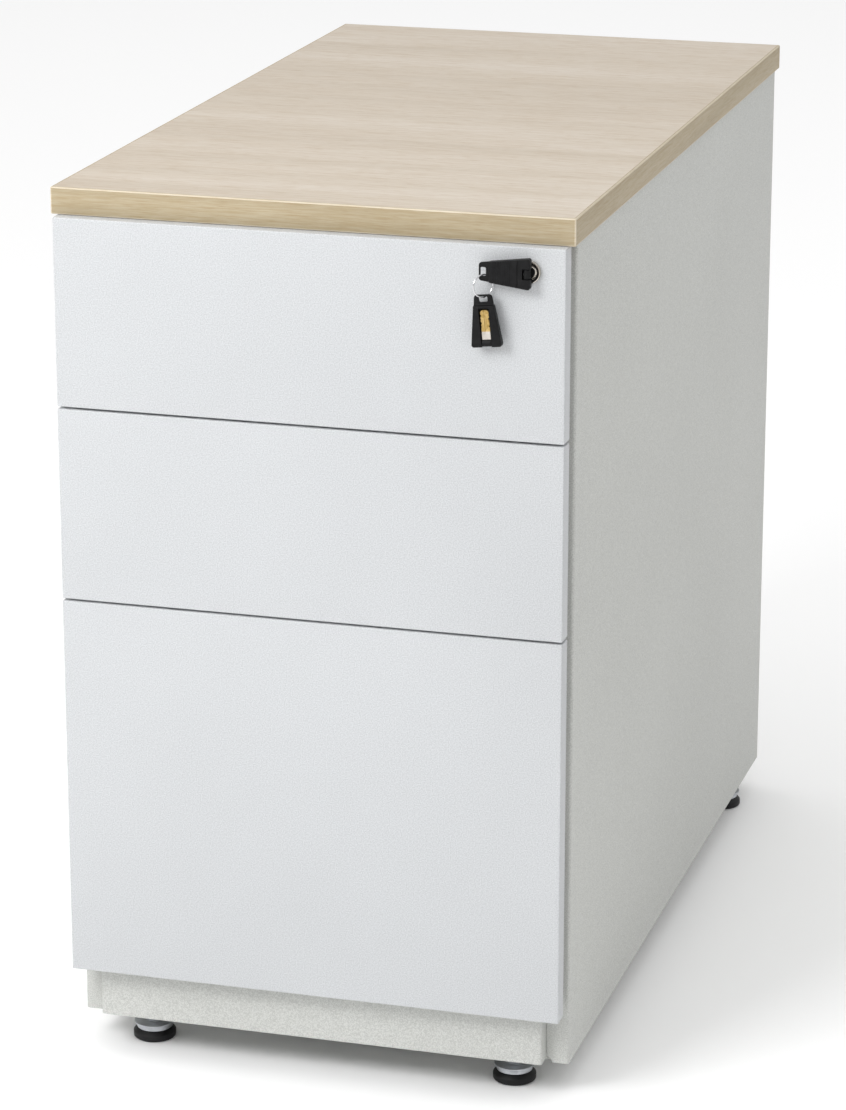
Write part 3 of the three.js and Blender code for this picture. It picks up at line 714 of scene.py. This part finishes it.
# lock: a nickel ring pressed in the front, and a black plug with its keyway
lockShape = {
    "housing": [
        (7.8, 2.6), (7.8, 2.2), (7.95, 2.9), (8.3, 3.15), (8.7, 3.05), (9, 2.4), (9, 0.3),
        (8, 0.3), (8, -34.3), (5.8, -34.3), (5.8, -2.5), (7.8, -2.5), (7.8, 2.6),
    ],
    "plug": [
        (5.5, -34.7), (5.5, -2.2), (7.5, -2.2), (7.5, 1.9), (7.35, 2.3), (7.0, 2.55), (6.2, 2.6),
        (5.9, 2.35), (5.2, 2.35), (4.9, 2.6), (4.4, 2.6),
    ],
    "keyway": {"width": 2.6, "height": 7.6, "depth": 18, "ease": 0.3},
    "nickelRing": (5.0, 6.1, 2),  # from and to this radius, on what stands this far out
    "camScrew": [(3.6, 0), (4.0, 0.4), (4.0, 1.6), (3.4, 2.2), (1.4, 2.4)], "camScrewBack": 37.2,
}
lockX, lockZ = lockPlace["across"], lockPlace["level"]
outOfFront = Matrix.Translation(at(lockX, 0, lockZ)) @ Matrix.Rotation(math.radians(90), 4, "X")
housing = move(turnPiece("lock_ring", lockShape["housing"], 72), outOfFront)
keep(housing, "drawer_top", "chrome", nickelPlate, instead=["lock_housing"])
plug = move(turnPiece("lock_barrel", lockShape["plug"], 72), outOfFront)
keyway = lockShape["keyway"]
slotLow = at(lockX - keyway["width"] / 2, -4, lockZ - keyway["height"] / 2)
slotHigh = at(lockX + keyway["width"] / 2, keyway["depth"], lockZ + keyway["height"] / 2)
cutOut(plug, easeEdges(addBlock("keyway", slotLow, slotHigh), keyway["ease"]))
plugAxis = at(lockX, 0, lockZ)
ringFrom, ringTo, ringOut = lockShape["nickelRing"]
for face in plug.data.polygons:
    fromAxis = math.hypot(face.center.x - plugAxis.x, face.center.z - plugAxis.z)
    onRing = ringFrom * mm < fromAxis < ringTo * mm and face.center.y < plugAxis.y - ringOut * mm
    face.material_index = int(onRing)
keep(plug, "lock_core", "black_plastic", keyPlastic, nickelPlate, instead=["lock_plug"])
camScrew = turnPiece("cam_screw", lockShape["camScrew"], 28)
slotLow, slotHigh = Vector((-4.5, -0.5, 1.4)) * mm, Vector((4.5, 0.5, 3)) * mm
cutOut(camScrew, addBlock("driver_slot", slotLow, slotHigh))
move(camScrew, Matrix.Translation(at(lockX, lockShape["camScrewBack"], lockZ)) @ toBack)
keep(camScrew, "lock_core", "zinc", zincPlate)
for name in ("cam", "bar", "bar_guide_lower", "bar_guide_upper", "catch_middle", "catch_file"):
    finishNode(f"lock_{name}", zincPlate)
print("lock ready")

# keys, made lying along -X from the pivot with the blade's pocket in the +Y face
keyShape = {
    "far": -38, "near": 3, "wide": 12.3, "narrow": 7, "thick": 6, "tongue": (-30, -29.2), "tongueThick": 1.8,
    "corner": 2.2, "pocket": (-27.5, 4.1), "hubSlot": (-3.2, 4.1), "ringSlot": (-36.8, -32.2, 3.5),
    "groove": (-7.4, -6.5, 0.5), "ribs": 8, "ribPitch": 2,
}
bladeShape = {
    "length": 26, "half": 3.5, "thick": 2, "point": 2.6, "root": -9, "notch": 1.5,
    "bitting": {
        1: ((-21.5, 0.9), (-18.6, 0.5), (-15.7, 1.0), (-12.8, 0.6)),
        -1: ((-22, 0.6), (-19, 1.0), (-16, 0.4), (-13, 0.8)),
    },  # for the upper and the lower edge: how far along, and how deep
}


def local(along, through, across):
    return Vector((along, through, across)) * mm


def scaleEnds(piece, test, value, centre):
    pick(piece, "VERT", test)
    bpy.ops.transform.resize(value=value, center_override=centre)
    activate(piece)


far, near, wide, thick = keyShape["far"], keyShape["near"], keyShape["wide"], keyShape["thick"]
head = addBlock("key_grip", local(far, -thick / 2, -wide), local(near, thick / 2, wide))
taper = (1, 1, keyShape["narrow"] / wide)
scaleEnds(head, lambda vertex: vertex.co.x < (far + 1) * mm, taper, (0, 0, 0))
for along in keyShape["tongue"]:
    pick(head, "FACE", lambda face: True)
    bpy.ops.mesh.bisect(plane_co=local(along, 0, 0), plane_no=(1, 0, 0))
    activate(head)
thinner = (1, keyShape["tongueThick"] / thick, 1)
scaleEnds(head, lambda vertex: vertex.co.x < -29.9 * mm, thinner, (0, 0, 0))
corners = [(far, keyShape["narrow"]), (near, wide)]


def isCorner(edge):  # the edges through the head's thickness, at its four corners
    ends = edgeEnds(head, edge)
    for end in ends:
        if not any(abs(end.x - x * mm) < 1e-5 and abs(abs(end.z) - z * mm) < 1e-5 for x, z in corners):
            return False
    return abs(ends[0].y - ends[1].y) > 1 * mm


pick(head, "EDGE", isCorner)
bpy.ops.mesh.bevel(offset=keyShape["corner"] * mm, segments=5, affect="EDGES")
activate(head)
easeEdges(head, 0.55, 3, 30)
along, half = keyShape["pocket"]
pocket = easeEdges(addBlock("pocket", local(along, -1.3, -half), local(0.2, 4, half)), 0.4)
along, half = keyShape["hubSlot"]
hubSlot = addBlock("hub_slot", local(along, -4, -half), local(4, 4, half))
start, finish, half = keyShape["ringSlot"]
ringSlot = addBlock("ring_slot", local(start, -3, -half), local(finish, 3, half))
easeEdges(ringSlot, 1.2, 4)
start, finish, depth = keyShape["groove"]
groove = addBlock("groove", local(start, -4, -14), local(finish, -3 + depth, 14))
cutOut(head, pocket, hubSlot, ringSlot, groove)
rib = addBlock("ribs", local(-27, -3.4, -14), local(-26.4, -2.75, 14))
cutOut(head, repeat(rib, keyShape["ribs"], (keyShape["ribPitch"], 0, 0)))

length, half, thick = bladeShape["length"], bladeShape["half"], bladeShape["thick"]
blade = addBlock("key_shank", local(-length, -thick / 2, -half), local(0, thick / 2, half))


def isPoint(edge):  # the edges through the blade's thickness, at its far end
    ends = edgeEnds(blade, edge)
    return all(end.x < -25.9 * mm for end in ends) and abs(ends[0].y - ends[1].y) > 1 * mm


pick(blade, "EDGE", isPoint)
bpy.ops.mesh.bevel(offset=bladeShape["point"] * mm, segments=4, affect="EDGES")
activate(blade)
pick(blade, "FACE", lambda face: True)
bpy.ops.mesh.bisect(plane_co=local(bladeShape["root"], 0, 0), plane_no=(1, 0, 0))
activate(blade)
for face in blade.data.polygons:
    face.material_index = int(face.center.x > bladeShape["root"] * mm)
eighthTurn = Matrix.Rotation(math.radians(45), 4, "Y")
for edge, rows in bladeShape["bitting"].items():
    for along, depth in rows:
        size = bladeShape["notch"]
        notch = addBlock("bitting", local(along - size, -2, -size), local(along + size, 2, size))
        spot = Matrix.Translation(local(along, 0, edge * (half + 2.1 - depth)))
        move(notch, spot @ eighthTurn @ Matrix.Translation(local(-along, 0, 0)))
        cutOut(blade, notch)
for side in (-1, 1):
    edges = sorted((side * 0.65, side * 2))
    cutOut(blade, addBlock("flute", local(-27, edges[0], -0.9), local(-9.5, edges[1], 0.5)))
easeEdges(blade, 0.12, 1, 30)
hub = turnPiece("key_hub", [(2.5, -3.8), (2.95, -3.4), (2.95, 3.4), (2.5, 3.8)], 40)

keyPlace = {
    "plane": -8.5, "ringAcross": 145.9, "ringLevel": 687.55, "hangLevel": 678.55, "tilt": -5.5, "drop": 35.75,
}
keyPlane, ringX = keyPlace["plane"], keyPlace["ringAcross"]
pivot1 = Matrix.Translation(at(lockX, keyPlane, lockZ))
tilt2 = Matrix.Rotation(math.radians(keyPlace["tilt"]), 4, "Y")
hang2 = Matrix.Translation(at(ringX, keyPlane, keyPlace["hangLevel"])) @ tilt2
turn2 = Matrix.Rotation(math.radians(90), 4, "Y") @ Matrix.Rotation(math.radians(180), 4, "X")
pivot2 = hang2 @ Matrix.Translation((0, 0, -keyPlace["drop"] * mm)) @ turn2
inLock = pivot1 @ Matrix.Rotation(math.radians(-90), 4, "Z")
for number, headPlace, bladePlace in ((1, pivot1, inLock), (2, pivot2, pivot2)):
    grip = copyOf(head, f"key_{number}_grip", headPlace)
    keep(grip, f"key_{number}_head", "black_plastic", keyPlastic, instead=[f"key_{number}_head"])
    shank = copyOf(blade, f"key_{number}_shank", bladePlace)
    keep(shank, f"key_{number}_blade", "brass", milledBrass, nickelPlate, instead=[f"key_{number}_blade"])
    block = copyOf(hub, f"key_{number}_hub", bladePlace)
    keep(block, f"key_{number}_blade", "black_plastic", keyPlastic)
for spare in (head, blade, hub):
    bpy.data.objects.remove(spare)

ringShape = {
    "radius": 9, "wireOut": 0.55, "wireAlong": 0.36, "sides": 12, "turns": 2, "steps": 48,
    "share": 0.985, "apart": 0.37,  # how much of the turns is wound, and half the space between them
}
activate()
wireMiddle = (ringShape["radius"] * mm, 0, 0)
bpy.ops.mesh.primitive_circle_add(
    vertices=ringShape["sides"], radius=1, location=wireMiddle, rotation=(math.pi / 2, 0, 0)
)
ring = bpy.context.object
ring.name = "split_ring"
ring.scale = (ringShape["wireOut"] * mm, ringShape["wireAlong"] * mm, 1)
bpy.ops.object.transform_apply(location=True, rotation=True, scale=True)
pick(ring, "EDGE", lambda edge: True)
total = ringShape["steps"] * ringShape["turns"]
wound = 2 * math.pi * ringShape["turns"] * ringShape["share"]
bpy.ops.mesh.spin(steps=total, angle=wound, center=(0, 0, 0), axis=(0, 0, 1))
activate(ring)
for index, vertex in enumerate(ring.data.vertices):
    share = min(1, (index // ringShape["sides"]) / total)
    vertex.co.z += (share - 0.5) * 2 * ringShape["apart"] * mm
for _ in range(2):  # closes one end of the wire, then the other
    uses = Counter(key for face in ring.data.polygons for key in face.edge_keys)
    openEdges = [edge.index for edge in ring.data.edges if uses[edge.key] == 1]
    chosen = set(openEdges[: ringShape["sides"]])
    pick(ring, "EDGE", lambda edge: edge.index in chosen)
    bpy.ops.mesh.edge_face_add()
    activate(ring)
pick(ring, "FACE", lambda face: True)
bpy.ops.mesh.normals_make_consistent(inside=False)
tilt = Matrix.Rotation(math.asin(0.75), 4, "Z") @ Matrix.Rotation(math.radians(90), 4, "X")
move(ring, Matrix.Translation(at(ringX, keyPlane, keyPlace["ringLevel"])) @ tilt)
keep(ring, "key_ring", "chrome", springSteel, instead=["key_ring"])
print("keys ready")

finishNode("worktop", melamineTop)
finishNode("base_panel", bodyCoatPaintedShade)

corners = {"cad": cadBounds, "visual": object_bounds()}
